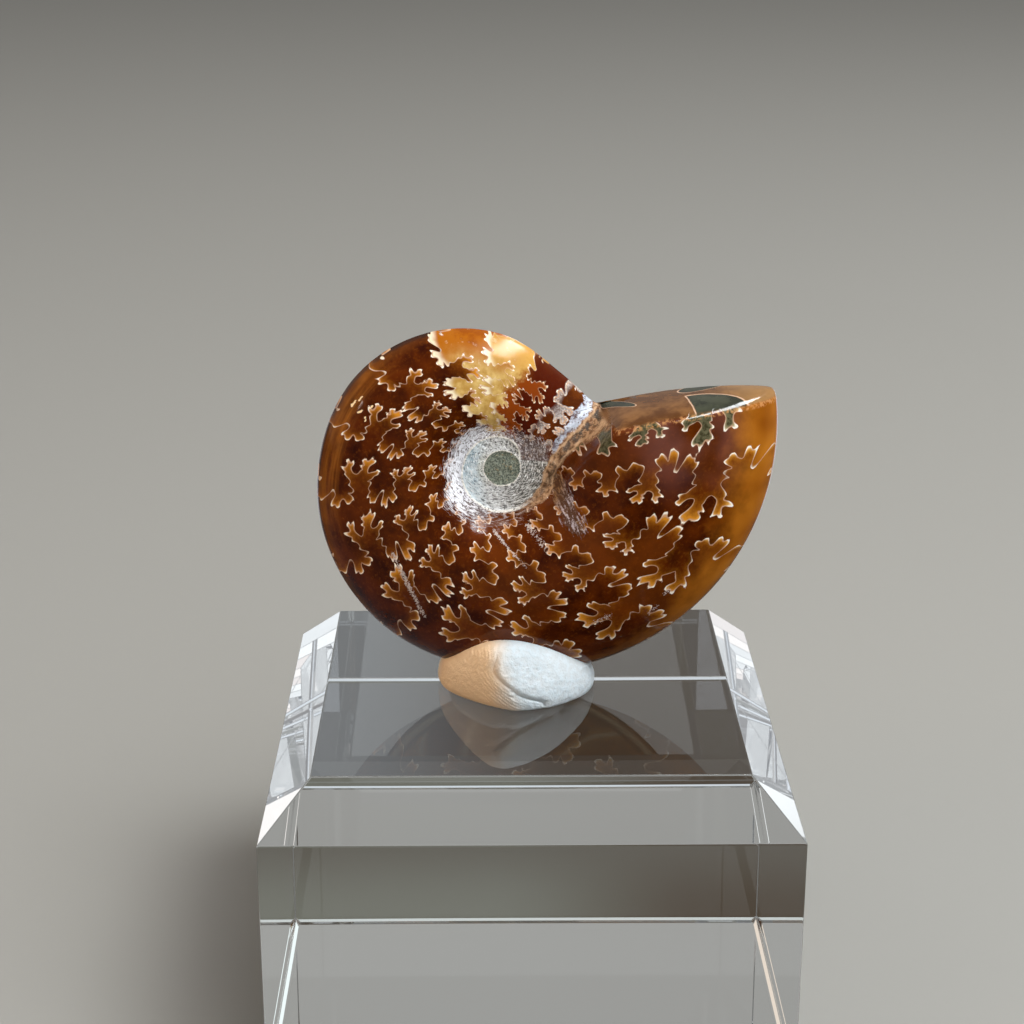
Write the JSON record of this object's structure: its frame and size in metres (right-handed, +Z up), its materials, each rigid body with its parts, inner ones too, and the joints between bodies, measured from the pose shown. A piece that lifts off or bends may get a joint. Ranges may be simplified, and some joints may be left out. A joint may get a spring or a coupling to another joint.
{
  "type": "ammonite fossil half on a display stand",
  "caption": "Cut and polished half of a coiled fossil shell, held on edge by a lump of putty on a clear bevelled acrylic block.",
  "frame": {"origin": "centre of the block's underside", "axes": "+Z up, the fossil's bulging flank looks towards -Y, its flat cut face looks towards +Y, and the sawn end of its last whorl points towards +X"},
  "size_m": [0.05, 0.05, 0.0673],
  "materials": {
    "fossil": "polished",
    "putty": "matte",
    "acrylic": "polished"
  },
  "bodies": {
    "root": {"fossil": "fossil", "putty": "putty", "block": "acrylic"}
  },
  "joints": []
}
